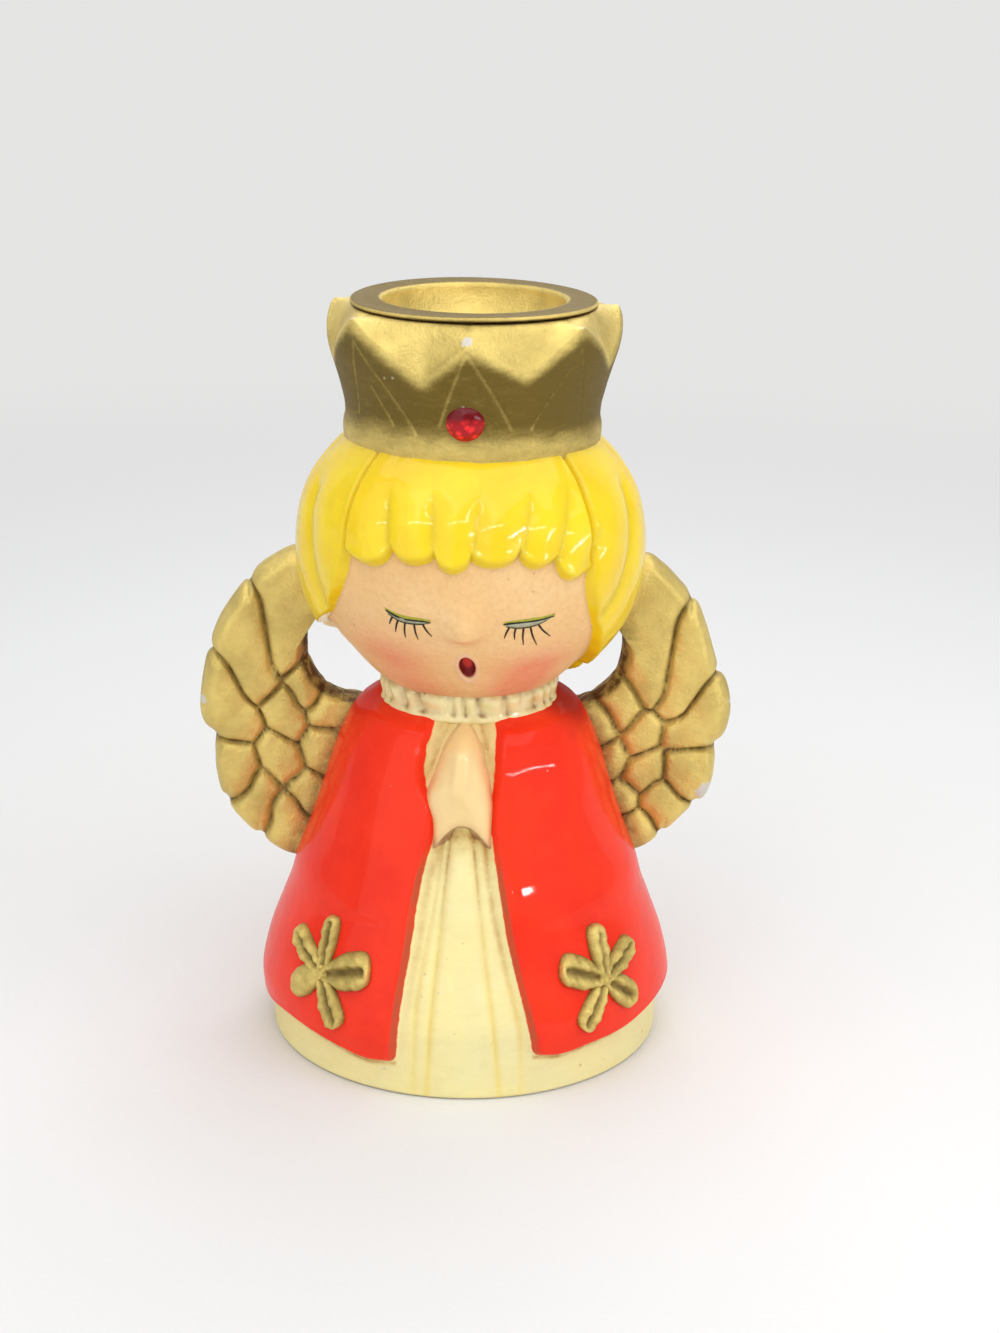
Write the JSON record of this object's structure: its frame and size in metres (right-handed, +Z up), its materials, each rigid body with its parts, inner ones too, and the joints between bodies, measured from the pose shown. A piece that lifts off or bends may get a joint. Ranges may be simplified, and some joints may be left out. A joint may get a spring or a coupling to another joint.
{
  "type": "angel candle holder",
  "caption": "Small praying angel figurine with a crown that holds a round metal candle cup, for one taper candle.",
  "frame": {"origin": "on the floor under the middle of the round base", "axes": "+Z up, the face looks towards -Y, +X towards the angel's own left"},
  "size_m": [0.116, 0.0873, 0.1606],
  "materials": {
    "painted_figure": "hand painted and partly glossy, in red, cream, yellow, peach and worn gold",
    "gold_metal": "satin gold paint",
    "red_glass": "polished"
  },
  "bodies": {
    "root": {"figure": "painted_figure", "candle_cup": "gold_metal", "jewel": "red_glass"}
  },
  "joints": []
}
